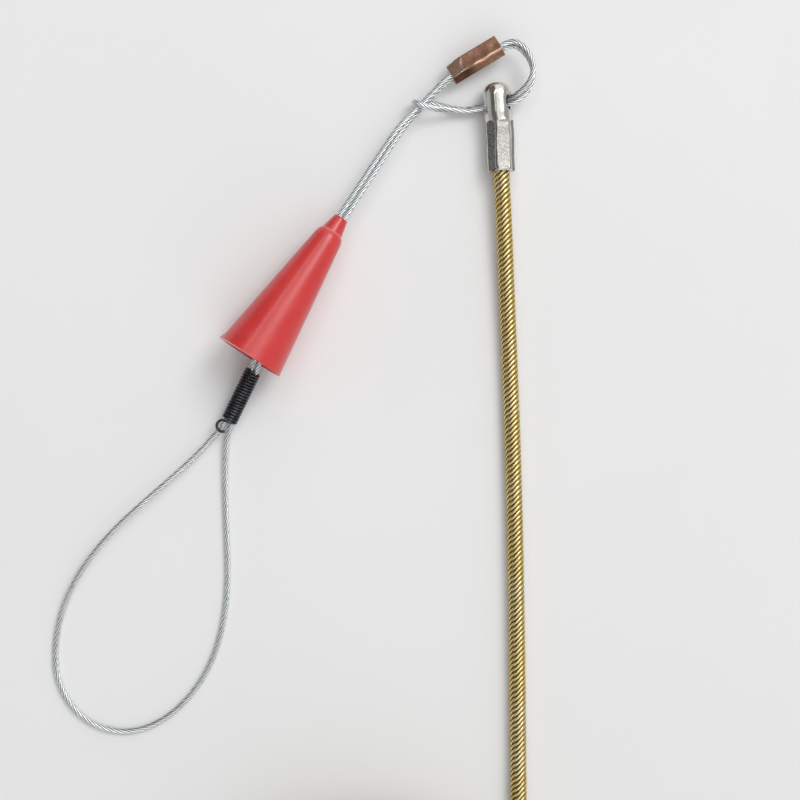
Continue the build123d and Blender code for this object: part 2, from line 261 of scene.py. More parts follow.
def coil_turns():
    """Control points of the stored turns, wound clockwise from above, layer on layer."""
    steps = 16
    # A smooth curve passes inside its control points, so they lie this much further out.
    outset = 1 / math.cos(math.pi / steps)
    points = []
    for i in range(round(COIL_TURNS * steps)):
        radius, height = coil_place((i + 0.5) / steps)
        angle = -2 * math.pi * (i + 0.5) / steps
        out = Vector((math.cos(angle), math.sin(angle), 0))
        points.append(COIL_CENTRE + out * (radius * outset) + UP * height)
    return points


def layer_height(layer):
    """Height of the centre line of the stored turns in a layer."""
    return COIL_FLOOR + CABLE_D / 2 + layer * COIL_SPACING


def coil_place(turn):
    """Radius and height of the centre line after a number of turns. A turn keeps to its place, and
    moves over to the next one in its last quarter. The top layer is an even spiral outwards."""
    top = COIL_COLUMNS * (COIL_LAYERS - 1)
    if turn >= top:
        left = (COIL_TURNS - turn) / (COIL_TURNS - top)
        reach = (COIL_COLUMNS - 1) * COIL_SPACING
        return COIL_OUTER_TURN - reach * left, layer_height(COIL_LAYERS - 1)
    whole, part = divmod(turn, 1)
    shift = max(0.0, 4 * part - 3)
    places = []
    for number in (whole, whole + 1):
        layer, column = divmod(number, COIL_COLUMNS)
        if layer % 2:
            column = COIL_COLUMNS - 1 - column
        places.append((COIL_OUTER_TURN - column * COIL_SPACING, layer_height(layer)))
    (radius_a, height_a), (radius_b, height_b) = places
    radius = radius_a + (radius_b - radius_a) * shift
    if radius_a == radius_b:
        # It climbs to the next layer here, and swells out past its neighbours.
        side = 1 if radius_a == COIL_OUTER_TURN else -1
        radius += side * COIL_SWELL * smooth(4 * min(shift, 1 - shift))
    return radius, height_a + (height_b - height_a) * shift


def under_tie(place, deg):
    """Whether a place on a stored turn is hidden by the middle of the tie at an angle."""
    half_width = math.radians(1.2)
    out = place - COIL_CENTRE
    out.z = 0.0
    return out.normalized().dot(heading(deg)) > math.cos(half_width)


def cable_route():
    """The cable in three parts: from the fitting's bore, round the stored turns, to the far end."""
    run = [
        along(FITTING_BASE, fitting_axis, CABLE_BORE_DEPTH),
        (0.0579, 0.0502, 0.0040),
        (0.05855, 0.0350, 0.0031),
        (0.05945, 0.0140, 0.0023),
        (0.06075, -0.0180, 0.0023),
        (0.06165, -0.0560, 0.0023),
        (0.06215, -0.0960, 0.00235),
        (0.0623, -0.1300, 0.0028),
        (0.0623, -0.1500, 0.0029),
    ]
    tail = [
        (0.0040, -0.2061, 0.0156),
        (-0.0090, -0.2060, 0.0112),
        (-0.0200, -0.2057, 0.0056),
        (-0.0310, -0.2054, 0.0040),
        along(FAR_FITTING_BASE, heading(180), CABLE_BORE_DEPTH),
    ]
    return run, coil_turns(), tail


# ---- mesh of a twisted cord ----


def resample(points, spacing):
    """Places spaced along a polyline; spacing(s) is the step at a distance s along it."""
    lengths = distances(points)
    total = lengths[-1]
    places, s, k = [], 0.0, 0
    while s < total - 1e-9:
        while lengths[k + 1] < s:
            k += 1
        t = (s - lengths[k]) / max(1e-12, lengths[k + 1] - lengths[k])
        places.append((s, points[k].lerp(points[k + 1], t)))
        s += spacing(s)
    places.append((total, points[-1].copy()))
    return places


def carried_frames(places):
    """The way on and a side vector at each place, carried along the line without twist."""
    frames = []
    side = None
    for i, (s, p) in enumerate(places):
        way = (places[min(i + 1, len(places) - 1)][1] - places[max(i - 1, 0)][1]).normalized()
        if side is None:
            side = UP.cross(way).normalized()
        side = (side - way * side.dot(way)).normalized()
        frames.append((way, side.copy()))
    return frames


def lobed_section(lobes, radius, lobe_radius, squash, per_lobe):
    """Points (angle, distance) of a section whose wires are ellipses round a circle, wider than
    deep by squash where they lie at a slant."""
    ring = radius - lobe_radius
    section = []
    for k in range(lobes * per_lobe):
        a = 2 * math.pi * k / (lobes * per_lobe)
        off = (a + math.pi / lobes) % (2 * math.pi / lobes) - math.pi / lobes
        half = lobe_radius * squash
        # Where a ray at this angle leaves the ellipse.
        ca, sa = math.cos(off), math.sin(off)
        qa = (ca / lobe_radius) ** 2 + (sa / half) ** 2
        qb = -2 * ring * ca / lobe_radius**2
        qc = (ring / lobe_radius) ** 2 - 1
        inside = max(0.0, qb * qb - 4 * qa * qc)
        section.append((a, (-qb + math.sqrt(inside)) / (2 * qa)))
    return section


def sweep_rings(bm, uv, places, frames, section, lead, lobes):
    """Adds a closed tube of a lobed section that turns once in each lead. Its UVs run round the
    cord with the wires, one unit to a wire, and along it, one unit to a millimetre."""
    count = len(section)
    rings = []
    for (s, p), (way, side) in zip(places, frames):
        other = way.cross(side)
        turn = 2 * math.pi * s / lead
        ring = []
        for a, r in section:
            out = side * math.cos(a + turn) + other * math.sin(a + turn)
            ring.append(bm.verts.new(p + out * r))
        rings.append(ring)
    for i in range(len(rings) - 1):
        s0, s1 = places[i][0] * 1000, places[i + 1][0] * 1000
        for k in range(count):
            j = (k + 1) % count
            face = bm.faces.new((rings[i][k], rings[i][j], rings[i + 1][j], rings[i + 1][k]))
            face.smooth = True
            u0, u1 = k * lobes / count, (k + 1) * lobes / count
            for loop, place in zip(face.loops, ((u0, s0), (u1, s0), (u1, s1), (u0, s1))):
                loop[uv].uv = place
    bm.faces.new(list(reversed(rings[0])))
    bm.faces.new(rings[-1])


def make_twisted(name, places, stretches, lead, lobes):
    """A twisted cord through places. Each stretch is its (first, last) place and its section."""
    frames = carried_frames(places)
    bm = bmesh.new()
    uv = bm.loops.layers.uv.new("wires")
    for first, last, section in stretches:
        part = slice(first, last + 1)
        sweep_rings(bm, uv, places[part], frames[part], section, lead, lobes)
    return object_from(name, bm)


def make_rope():
    """The galvanised wire rope: six strands, laid right-handed."""
    strands, strand_r, squash, lead, step = 6, 0.00025, 1.05, 0.011, 0.0005
    places = resample(spline_points(rope_route()), lambda s: step)
    section = lobed_section(strands, ROPE_D / 2, strand_r, squash, 8)
    rope = make_twisted("rope", places, [(0, len(places) - 1, section)], lead, strands)
    rope.data.materials.append(rope_material())
    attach(rope, "sling")
    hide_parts("rope_neck_left", "rope_neck_right", "rope_snare", "rope_hitch")


def cable_spacing(points):
    """The step between the cable's rings as a function of the distance along it, and where its
    plain section starts and ends. Stored turns that others hide have the fewest rings."""
    fine, plain, hidden = 0.0006, 0.00118, 0.0032
    lengths = distances(points)
    coil_start = next(s for s, p in zip(lengths, points) if p.y < COIL_CENTRE.y + 0.012)
    first_tie = [s for s, p in zip(lengths, points) if under_tie(p, TIE_ANGLES[2])]
    last_tie = [s for s, p in zip(lengths, points) if under_tie(p, TIE_ANGLES[0])]
    plain_start = next(s for s in first_tie if s > coil_start)
    plain_end = last_tie[-1]
    turn_starts = [coil_start]
    for turn in range(COIL_COLUMNS * COIL_LAYERS - 2):
        turn_starts.append(turn_starts[-1] + 2 * math.pi * coil_place(turn)[0])

    def spacing(s):
        if s < plain_start or s > plain_end:
            return fine
        turn = sum(1 for t in turn_starts if t <= s) - 1
        layer, column = divmod(turn, COIL_COLUMNS)
        inside = 0 < column < COIL_COLUMNS - 1 and layer < COIL_LAYERS - 1
        return hidden if inside else plain

    return spacing, plain_start, plain_end


def make_cable(ties):
    """The spiral cable: seven wires wound right-handed at a steep slant. The stored turns have a
    simpler section, from one tie to another."""
    wires, wire_r, squash, lead = 7, 0.000525, 1.486, 0.0097
    run, turns, tail = cable_route()
    points = spline_points(run + turns + tail)
    spacing, plain_start, plain_end = cable_spacing(points)
    places = resample(points, spacing)
    first = next(i for i, (s, p) in enumerate(places) if s >= plain_start)
    last = next(i for i, (s, p) in enumerate(places) if s >= plain_end)
    fine = lobed_section(wires, CABLE_D / 2, wire_r, squash, 8)
    plain = lobed_section(wires, CABLE_D / 2, wire_r, squash, 3)
    stretches = [(0, first, fine), (first, last, plain), (last, len(places) - 1, fine)]
    cable = make_twisted("cable", places, stretches, lead, wires)
    cable.data.materials.append(cable_material())
    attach(cable, "shaft")
    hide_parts("cable_run", "cable_coil", "cable_tail")


# ---- materials ----


def set_stops(ramp, stops):
    """The stops of a colour ramp, each (place, grey or colour)."""
    elements = ramp.color_ramp.elements
    while len(elements) < len(stops):
        elements.new(0.5)
    for element, (place, value) in zip(elements, stops):
        element.position = place
        element.color = (*value, 1) if isinstance(value, tuple) else (value, value, value, 1)


class Nodes:
    """A material's node tree, built a node at a time."""

    def __init__(self, name):
        self.material = bpy.data.materials.new(name)
        self.material.use_nodes = True
        self.tree = self.material.node_tree
        self.tree.nodes.clear()
        self.shader = self.add("ShaderNodeBsdfPrincipled")
        out = self.add("ShaderNodeOutputMaterial")
        self.link(self.shader.outputs["BSDF"], out.inputs["Surface"])

    def add(self, kind, **values):
        node = self.tree.nodes.new(kind)
        for key, value in values.items():
            setattr(node, key, value)
        return node

    def link(self, a, b):
        self.tree.links.new(a, b)

    def set(self, **values):
        """Values on the shader's own sockets, such as Base_Color=(r, g, b)."""
        for key, value in values.items():
            socket = self.shader.inputs[key.replace("_", " ")]
            socket.default_value = (*value, 1) if isinstance(value, tuple) else value

    def to(self, socket, source):
        """Drives one of the shader's sockets."""
        self.link(source, self.shader.inputs[socket])

    def place(self, scale=(1, 1, 1), uv=None):
        """Object coordinates, or the named UVs, scaled."""
        if uv:
            source = self.add("ShaderNodeUVMap", uv_map=uv).outputs["UV"]
        else:
            source = self.add("ShaderNodeTexCoord").outputs["Object"]
        mapping = self.add("ShaderNodeMapping")
        mapping.inputs["Scale"].default_value = scale
        self.link(source, mapping.inputs["Vector"])
        return mapping.outputs["Vector"]

    def noise(self, vector, scale, detail=3.0, roughness=0.55, distortion=0.0):
        node = self.add("ShaderNodeTexNoise")
        node.inputs["Scale"].default_value = scale
        node.inputs["Detail"].default_value = detail
        node.inputs["Roughness"].default_value = roughness
        node.inputs["Distortion"].default_value = distortion
        self.link(vector, node.inputs["Vector"])
        return node.outputs["Fac"]

    def ramp(self, fac, *stops):
        """Maps 0..1 through colours: each stop is (place, grey or colour)."""
        node = self.add("ShaderNodeValToRGB")
        set_stops(node, stops)
        self.link(fac, node.inputs["Fac"])
        return node.outputs["Color"]

    def mix(self, fac, a, b):
        """Colour a, blended into colour b by fac."""
        node = self.add("ShaderNodeMix", data_type="RGBA")
        # The colour sockets share their names with the number ones, so they go by place.
        for index, value in ((0, fac), (6, a), (7, b)):
            self.feed(node.inputs[index], value)
        return node.outputs[2]

    def feed(self, socket, value):
        """A number, a colour or another node's output into a socket."""
        if isinstance(value, (int, float)):
            socket.default_value = value
        elif isinstance(value, tuple):
            socket.default_value = (*value, 1)
        else:
            self.link(value, socket)

    def math(self, operation, a, b=None):
        node = self.add("ShaderNodeMath", operation=operation)
        for socket, value in zip(node.inputs, (a, b)):
            if value is not None:
                self.feed(socket, value)
        return node.outputs["Value"]

    def bump(self, height, strength, distance, normal=None):
        node = self.add("ShaderNodeBump")
        node.inputs["Strength"].default_value = strength
        node.inputs["Distance"].default_value = distance
        self.link(height, node.inputs["Height"])
        if normal:
            self.link(normal, node.inputs["Normal"])
        return node.outputs["Normal"]


def rope_material():
    """Galvanised steel strands: fine wires in each, dull zinc grey, painted shade between the strands.
    """
    n = Nodes("rope_steel")
    wires = n.add("ShaderNodeSeparateXYZ")
    n.link(n.place(uv="wires"), wires.inputs[0])
    round_it, along_it = wires.outputs[0], wires.outputs[1]
    # Three wires show across a strand, running nearly along the rope.
    phase = n.math("ADD", n.math("MULTIPLY", round_it, 3.0), n.math("MULTIPLY", along_it, -1.1))
    wave = n.math("SINE", n.math("MULTIPLY", phase, 2 * math.pi))
    gap = n.math("PINGPONG", round_it, 0.5)
    mottle = n.noise(n.place(), 700, 4)
    patches = n.noise(n.place(), 90, 3)
    zinc = n.ramp(mottle, (0.3, (0.69, 0.72, 0.73)), (0.7, (0.87, 0.90, 0.91)))
    zinc = n.mix(n.ramp(patches, (0.5, 0.0), (0.8, 0.5)), zinc, (0.62, 0.63, 0.62))
    # Painted shade: the colour goes nearly black between the strands.
    zinc = n.mix(n.ramp(gap, (0.29, 0.0), (0.45, 0.97)), zinc, (0.04, 0.05, 0.055))
    n.to("Base Color", zinc)
    n.to("Roughness", n.ramp(mottle, (0.3, 0.24), (0.75, 0.42)))
    n.set(Metallic=1.0)
    fine = n.bump(wave, 0.15, 0.00003)
    n.to("Normal", n.bump(mottle, 0.25, 0.00002, fine))
    return n.material


def cable_material():
    """Brass-washed spring steel wires, worn paler on the crowns, painted shade dark in the grooves."""
    n = Nodes("cable_steel")
    wires = n.add("ShaderNodeSeparateXYZ")
    n.link(n.place(uv="wires"), wires.inputs[0])
    groove = n.math("PINGPONG", wires.outputs[0], 0.5)
    streaks = n.noise(n.place((1.0, 0.06, 1.0), uv="wires"), 3.0, 4)
    fine = n.noise(n.place(), 900, 4)
    patches = n.noise(n.place(), 60, 3)
    brass = n.ramp(streaks, (0.3, (0.62, 0.46, 0.14)), (0.7, (0.90, 0.77, 0.44)))
    brass = n.mix(n.ramp(patches, (0.45, 0.0), (0.75, 0.6)), brass, (0.88, 0.80, 0.56))
    brass = n.mix(n.ramp(fine, (0.55, 0.0), (0.75, 0.5)), brass, (0.44, 0.28, 0.07))
    # Painted shade: the grooves between the wires go dark brown.
    brass = n.mix(n.ramp(groove, (0.22, 0.0), (0.40, 0.97)), brass, (0.16, 0.085, 0.001))
    n.to("Base Color", brass)
    n.to("Roughness", n.ramp(fine, (0.3, 0.2), (0.75, 0.34)))
    n.set(Metallic=1.0, Specular_Tint=(0.95, 0.72, 0.10))
    n.to("Normal", n.bump(streaks, 0.3, 0.00004, n.bump(fine, 0.2, 0.00002)))
    return n.material


def nickel_material():
    """Polished nickel plate, a little cloudy."""
    n = Nodes("nickel")
    place = n.place()
    grain = n.noise(place, 2600, 3, 0.7)
    soft = n.noise(place, 260, 4)
    n.to("Base Color", n.ramp(soft, (0.3, (0.62, 0.60, 0.55)), (0.7, (0.76, 0.74, 0.69))))
    n.to("Roughness", n.ramp(soft, (0.3, 0.12), (0.7, 0.22)))
    n.set(Metallic=1.0)
    n.to("Normal", n.bump(grain, 0.12, 0.00002))
    return n.material


def pressed_nickel_material(name, pit, crown):
    """Nickel with the sandy grain that the crimping jaws left. Its pits and its crowns are warm
    greys."""
    n = Nodes(name)
    place = n.place()
    grain = n.noise(place, 3300, 3, 0.75)
    pits = n.noise(place, 3300, 3, 0.65)
    soft = n.noise(place, 200, 3)
    low, high = (pit, pit * 0.98, pit * 0.88), (crown, crown * 0.985, crown * 0.92)
    tone = n.ramp(pits, (0.42, low), (0.57, high))
    tone = n.mix(n.ramp(soft, (0.45, 0.0), (0.75, 0.22)), tone, (pit * 1.4, pit * 1.35, pit * 1.2))
    n.to("Base Color", tone)
    n.to("Roughness", n.ramp(grain, (0.3, 0.34), (0.7, 0.55)))
    n.set(Metallic=1.0)
    n.to("Normal", n.bump(pits, 0.3, 0.00006, n.bump(grain, 0.4, 0.00004)))
    return n.material


def eye_shade_material():
    """The inside of the eye, painted nearly black: painted shade in the hole."""
    n = Nodes("nickel_eye_painted_shade")
    place = n.place()
    dirt = n.noise(place, 900, 4)
    n.to("Base Color", n.ramp(dirt, (0.3, (0.05, 0.045, 0.04)), (0.7, (0.16, 0.15, 0.13))))
    n.to("Roughness", n.ramp(dirt, (0.3, 0.35), (0.7, 0.6)))
    n.set(Metallic=1.0)
    n.to("Normal", n.bump(dirt, 0.3, 0.00004))
    return n.material


def finish_channels(n):
    """The first two channels of the mesh's own record of its finish."""
    parts = n.add("ShaderNodeSeparateXYZ")
    n.link(n.add("ShaderNodeAttribute", attribute_name="finish").outputs["Color"], parts.inputs[0])
    return parts.outputs[0], parts.outputs[1]


def set_finish(mesh, values):
    """Records (worn, dark), each 0..1, at every vertex: brighter and darker, carrying wear, painted
    highlight and painted shade.
    """
    layer = mesh.attributes.new("finish", "FLOAT_COLOR", "POINT")
    for item, (worn, dark) in zip(layer.data, values):
        item.color = (worn, dark, 0, 1)


def copper_material():
    """Dull pressed copper, browned, rubbed bright on its edges. Its ridge is brighter, partly wear and
    partly painted highlight; its slanting face has painted highlight and its underside painted shade.
    """
    n = Nodes("copper")
    place = n.place()
    worn, dark = finish_channels(n)
    tarnish = n.noise(place, 520, 5, 0.65)
    fine = n.noise(place, 2300, 4, 0.7)
    scratches = n.noise(n.place((1.0, 6.0, 1.0)), 900, 4, 0.6, 1.5)
    brown, middle, pale = (0.235, 0.115, 0.07), (0.33, 0.18, 0.12), (0.45, 0.28, 0.20)
    colour = n.ramp(tarnish, (0.3, brown), (0.55, middle), (0.75, pale))
    colour = n.mix(n.ramp(scratches, (0.60, 0.0), (0.72, 0.45)), colour, (0.62, 0.44, 0.34))
    colour = n.mix(n.ramp(fine, (0.55, 0.0), (0.8, 0.4)), colour, (0.17, 0.085, 0.05))
    # Painted shade underneath, and darker on the left, from the mesh's record.
    colour = n.mix(dark, colour, (0.10, 0.045, 0.028))
    # Rubbed wear on the edges, and painted highlight on the ridge and the slanting face.
    colour = n.mix(worn, colour, (0.97, 0.66, 0.49))
    n.to("Base Color", colour)
    rough = n.ramp(tarnish, (0.3, 0.52), (0.75, 0.34))
    n.to("Roughness", n.mix(worn, rough, (0.22, 0.22, 0.22)))
    n.set(Metallic=1.0)
    n.to("Normal", n.bump(scratches, 0.25, 0.00005, n.bump(fine, 0.35, 0.00005)))
    return n.material


def red_plastic_material():
    """Moulded red plastic, satin, with faint flow streaks."""
    n = Nodes("red_plastic")
    place = n.place()
    pale_and_highlight = finish_channels(n)[0]
    flow = n.noise(place, 110, 4)
    grain = n.noise(place, 2400, 3)
    red = n.ramp(flow, (0.3, (0.56, 0.033, 0.033)), (0.7, (0.62, 0.043, 0.042)))
    # The mesh's record pales the red: painted highlight along the rim's left half, and a paler ring
    # round the nozzle's root.
    n.to("Base Color", n.mix(pale_and_highlight, red, (0.88, 0.52, 0.48)))
    n.to("Roughness", n.ramp(flow, (0.3, 0.27), (0.7, 0.34)))
    n.set(Subsurface_Weight=0.08, Subsurface_Scale=0.002, Coat_Weight=0.25, Coat_Roughness=0.24)
    n.to("Normal", n.bump(grain, 0.08, 0.00004))
    return n.material


def spring_material():
    """Black oxide spring wire with an oily shine."""
    n = Nodes("spring_steel")
    place = n.place()
    worn = n.noise(place, 500, 4)
    n.to("Base Color", n.ramp(worn, (0.35, (0.028, 0.031, 0.037)), (0.75, (0.10, 0.105, 0.115))))
    n.to("Roughness", n.ramp(worn, (0.3, 0.22), (0.7, 0.36)))
    n.set(Metallic=0.9)
    n.to("Normal", n.bump(n.noise(place, 2500, 3), 0.15, 0.00002))
    return n.material


def tie_material():
    """Black hook-and-loop strap: a short fuzzy pile over a woven ground."""
    n = Nodes("tie")
    place = n.place()
    weave = n.noise(place, 3800, 2)
    wear = n.noise(place, 300, 4)
    n.to("Base Color", n.ramp(wear, (0.3, (0.018, 0.018, 0.02)), (0.7, (0.04, 0.04, 0.043))))
    n.set(Roughness=0.85, Sheen_Weight=0.5, Sheen_Roughness=0.4)
    n.to("Normal", n.bump(weave, 0.7, 0.0002))
    return n.material


def floor_material():
    """Matt off-white, with a faint cloud in it."""
    n = Nodes("floor")
    place = n.place()
    cloud = n.noise(place, 9, 4)
    n.to("Base Color", n.ramp(cloud, (0.2, (0.80, 0.80, 0.80)), (0.8, (0.83, 0.83, 0.83))))
    n.set(Roughness=0.9, Specular_IOR_Level=0.1)
    return n.material


# ---- the other pieces ----


def frame_at(origin, axis):
    """Place and directions of a piece on an axis: x to the left of it seen from above, z along."""
    x = UP.cross(axis).normalized()
    y = axis.cross(x)
    return Matrix.Translation(origin) @ Matrix((x, y, axis)).transposed().to_4x4()


def ring_mesh(name, rings, caps=True):
    """A surface through rings of points, each with the same count. It is capped at both ends, or
    its last ring joins the first."""
    bm = bmesh.new()
    verts = [[bm.verts.new(p) for p in ring] for ring in rings]
    count = len(rings[0])
    for i in range(len(rings) - 1 if caps else len(rings)):
        a, b = verts[i], verts[(i + 1) % len(rings)]
        for k in range(count):
            j = (k + 1) % count
            bm.faces.new((a[k], a[j], b[j], b[k])).smooth = True
    if caps:
        bm.faces.new(list(reversed(verts[0]))).smooth = True
        bm.faces.new(verts[-1]).smooth = True
    bmesh.ops.recalc_face_normals(bm, faces=bm.faces)
    return object_from(name, bm)


def make_guide_cone():
    """The hollow red cone: a thin wall, a nozzle and a small flared lip on the rim's left."""
    length, base_r, wall = 0.0456, 0.0095, 0.0011
    shoulder_s, shoulder_r = 0.0393, 0.00395
    root_s, root_r = 0.041, 0.00305
    tip_r, bore_r, lip_s = 0.0019, 0.0016, 0.0026
    count = 144

    def outer_r(s):
        return base_r + (shoulder_r - base_r) * s / shoulder_s

    rim = [(outer_r(0.0) - wall * 0.5, 0.0), (outer_r(0.0) - 0.0002, 0.00003), (base_r, 0.0002)]
    side = [(outer_r(s / 1000), s / 1000) for s in (0.5, 1.0, 1.8, 2.6, 4, 8, 14, 20, 26, 32, 37)]
    shoulder = [
        (outer_r(shoulder_s - 0.0005), shoulder_s - 0.0005),
        (shoulder_r - 0.00005, shoulder_s),
        (shoulder_r - 0.0002, shoulder_s + 0.0006),
        (shoulder_r - 0.0005, shoulder_s + 0.0012),
    ]
    nozzle = [
        (root_r, root_s - 0.0001),
        (root_r - 0.00013, root_s + 0.0004),
        (root_r - 0.0005, root_s + 0.002),
        (tip_r + 0.00014, length - 0.0003),
        (tip_r + 0.00005, length - 0.0001),
        (tip_r - 0.00008, length),
        (bore_r + 0.00005, length),
    ]
    bore = [(bore_r, length - 0.0001), (bore_r, shoulder_s - 0.0002)]
    inner = [(shoulder_r - wall, shoulder_s - 0.0012)]
    inner += [(outer_r(s / 1000) - wall, s / 1000) for s in (37, 32, 26, 20, 14, 8, 4, 1.5, 0.6)]
    inner += [(base_r - wall + 0.00005, 0.0002), (base_r - wall + 0.0002, 0.00003)]
    at = frame_at(CONE_BASE_CENTRE, cone_axis)
    rings, finish = [], []
    for r, s in rim + side + shoulder + nozzle + bore + inner:
        at_rim = s < 0.0003 and r > base_r - wall * 0.8
        at_root = root_s - 0.0002 < s < root_s + 0.0002
        on_lip = r > outer_r(s) - wall * 0.6 and s < lip_s
        ring = []
        for k in range(count):
            a = 2 * math.pi * k / count
            # How far round from the rim's left.
            off = abs((a + math.pi) % (2 * math.pi) - math.pi)
            # Painted highlight: the plastic is paler along the rim's left half. It is also paler in a
            # ring round the nozzle's root.
            pale = 0.8 * smooth(1.3 - off / math.radians(100)) * at_rim + 0.22 * at_root
            finish.append((pale, 0.0))
            lift = 0.0
            if on_lip:
                # The lip stands out most just above the rim.
                lift = 0.00042 * smooth(1 - off / math.radians(17)) * smooth(1 - s / lip_s)
            ring.append(at @ Vector(((r + lift) * math.cos(a), (r + lift) * math.sin(a), s)))
        rings.append(ring)
    cone = ring_mesh("guide_cone_shell", rings, caps=False)
    set_finish(cone.data, finish)
    cone.data.materials.append(red_plastic_material())
    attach(cone, "cone")
    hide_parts("guide_cone")


def tube_mesh(name, points, radius):
    """A round wire along points, with domed ends."""
    count = 14
    frames = carried_frames([(0, p) for p in points])
    # Each station is (point, push along the wire, share of the radius).
    stations = [(0, -0.92, 0.35), (0, -0.6, 0.8)]
    stations += [(i, 0.0, 1.0) for i in range(len(points))]
    stations += [(len(points) - 1, 0.6, 0.8), (len(points) - 1, 0.92, 0.35)]
    rings = []
    for i, push, share in stations:
        way, side = frames[i]
        other = way.cross(side)
        centre = points[i] + way * (push * radius * 0.5)
        ring = []
        for k in range(count):
            a = 2 * math.pi * k / count
            ring.append(centre + (side * math.cos(a) + other * math.sin(a)) * (radius * share))
        rings.append(ring)
    return ring_mesh(name, rings)


def make_lock_spring():
    """The black close-wound spring, with its open hook above the rope pair."""
    wire, outside, pitch, turns, steps = 0.00075, 0.0047, 0.00085, 18, 36
    hook_r, hook_aside, hook_drop, hook_sweep = 0.0016, 0.0008, 0.0002, 225
    r = (outside - wire) / 2
    right = spring_axis.cross(UP).normalized()
    up = right.cross(spring_axis).normalized()

    def place(x, y, z):
        return SPRING_BOTTOM + right * x + up * y + spring_axis * z

    points = []
    # The hook, from its open end to where it joins the first turn.
    for deg in range(90 + hook_sweep, 89, -9):
        a = math.radians(deg)
        x = -hook_aside + hook_r * math.cos(a)
        points.append(place(x, r, -hook_drop - hook_r + hook_r * math.sin(a)))
    # The turns, from straight up to the right as the wire climbs.
    for i in range(1, turns * steps + 1):
        a = 2 * math.pi * i / steps
        points.append(place(r * math.sin(a), r * math.cos(a), pitch * i / steps))
    spring = tube_mesh("lock_spring_wire", points, wire / 2)
    spring.data.materials.append(spring_material())
    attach(spring, "spring")
    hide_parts("lock_spring")


def ferrule_finish(p, s, cut, edge_wear, wander):
    """How bright and how dark the copper is at a point p of the outline at s, each 0..1. It is
    brighter along the ridge on top, most at the right, partly rubbed wear and partly painted
    highlight; rubbed bright on its edges; with painted highlight on the slanting face. It is
    darker on its left, and underneath with painted shade."""
    top = p.y > 0
    # The ridge is brighter, most at the right: partly rubbed wear, partly painted highlight.
    ridge_x = -0.72 + 0.35 * noise.noise(Vector((s * 0.45, 0.3, 9.1)))
    broad = 0.15 + 0.10 * smooth((s - 6) / 3)
    ridge = math.exp(-(((p.x - ridge_x) / broad) ** 2)) * top
    worn = ridge * (0.35 + 0.6 * smooth((s - 5.5) / 2)) + edge_wear
    if top and p.x > -0.75:
        # A brighter line along the crease, and painted highlight over the slanting face.
        worn += 0.2 * math.exp(-((cut / 0.2) ** 2)) * smooth(p.x / 3)
        worn += (cut > 0) * (0.58 + 0.3 * noise.noise(Vector((p.x * 0.8, s * 0.5, 2.2))))
    # Darker on the left of the lower facet near the left end, darker at random, and painted shade
    # underneath.
    dark = 0.75 * top * (p.x < -0.8) * smooth((7.5 - s) / 3)
    dark += 0.25 * max(0.0, wander) + 0.5 * (p.y < 0)
    return min(1.0, max(0.0, worn)), min(1.0, dark)


def ferrule_point(side, t, s, share):
    """A point of the ferrule's outline and its finish. It lies a part t along a side, and share
    is how much of the outline's size is left at s."""
    corners = [(3.45, 1.15), (-0.6, 2.45), (-2.55, 0.1), (-1.2, -2.35), (1.9, -2.5), (3.55, -0.6)]
    core, taper_s, taper_x = Vector((0.4, 0.0)), 4.5, 2.9
    p = Vector(corners[side]).lerp(Vector(corners[(side + 1) % len(corners)]), t)
    # Faces dish in a little, and the corners between them are rounded.
    edge = smooth(1 - min(t, 1 - t) / 0.06)
    wander = noise.noise(Vector((s * 0.45, side * 3.1, 4.2)))
    dish = (0.10 + 0.06 * wander) * math.sin(math.pi * t) + 0.05 * edge
    p = p + (core - p).normalized() * dish
    # The left end is tapered on its left side.
    if s < taper_s:
        p.x = min(p.x, taper_x + 0.7 * s / taper_s)
    # The press also cut a slanting face on top of that end.
    cut = (3.6 - s) * 0.962 + (p.x + 0.75) * 0.272
    p.y = min(p.y, 2.45 - 0.321 * (p.x + 0.6) - 0.158 * max(0.0, cut))
    p = core + (p - core) * share
    dent = noise.noise(Vector((s * 0.9, (side + t) * 2.4, 1.7)))
    p = p + (core - p).normalized() * (0.05 * max(0.0, dent))
    edge_wear = 0.22 * edge * (0.5 + dent) + 0.35 * (share < 1.0)
    return p, ferrule_finish(p, s, cut, edge_wear, wander)


def make_ferrule():
    """The copper ferrule: a tube pressed into uneven flat faces, tapered at its left end. It is
    shaped in millimetres, with x to the left of its axis, y up and s from the left end."""
    sides, per_side = 6, 20
    length = FERRULE_LENGTH * 1000
    # Each station is (s, share of the outline's size): the ends are rounded off.
    stations = [(0.0, 0.6), (0.0, 0.965), (0.04, 0.985), (0.14, 1.0)]
    stations += [(0.3 + (length - 0.6) * i / 96, 1.0) for i in range(97)]
    stations += [(length - 0.14, 1.0), (length - 0.04, 0.985), (length, 0.965), (length, 0.6)]
    at = frame_at(FERRULE_LEFT, ferrule_axis) @ Matrix.Scale(0.001, 4)
    rings, finish = [], []
    for s, share in stations:
        ring = []
        for k in range(sides * per_side):
            p, look = ferrule_point(k // per_side, (k % per_side) / per_side, s, share)
            ring.append(at @ Vector((p.x, p.y, s)))
            finish.append(look)
        rings.append(ring)
    ferrule = ring_mesh("ferrule_body", rings)
    ferrule.data.set_sharp_from_angle(angle=math.radians(35))
    set_finish(ferrule.data, finish)
    ferrule.data.materials.append(copper_material())
    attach(ferrule, "sling")
    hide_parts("ferrule")


def tie_corners(deg):
    """Centres (radius, height) of the turns that a tie bends round, anticlockwise."""
    passes = [Vector(coil_place(k + 1 - deg / 360)) for k in range(math.floor(COIL_TURNS))]
    hull = [passes[i] for i in geometry.convex_hull_2d(passes)]
    area = sum(hull[i - 1].cross(hull[i]) for i in range(len(hull)))
    return hull if area > 0 else hull[::-1]


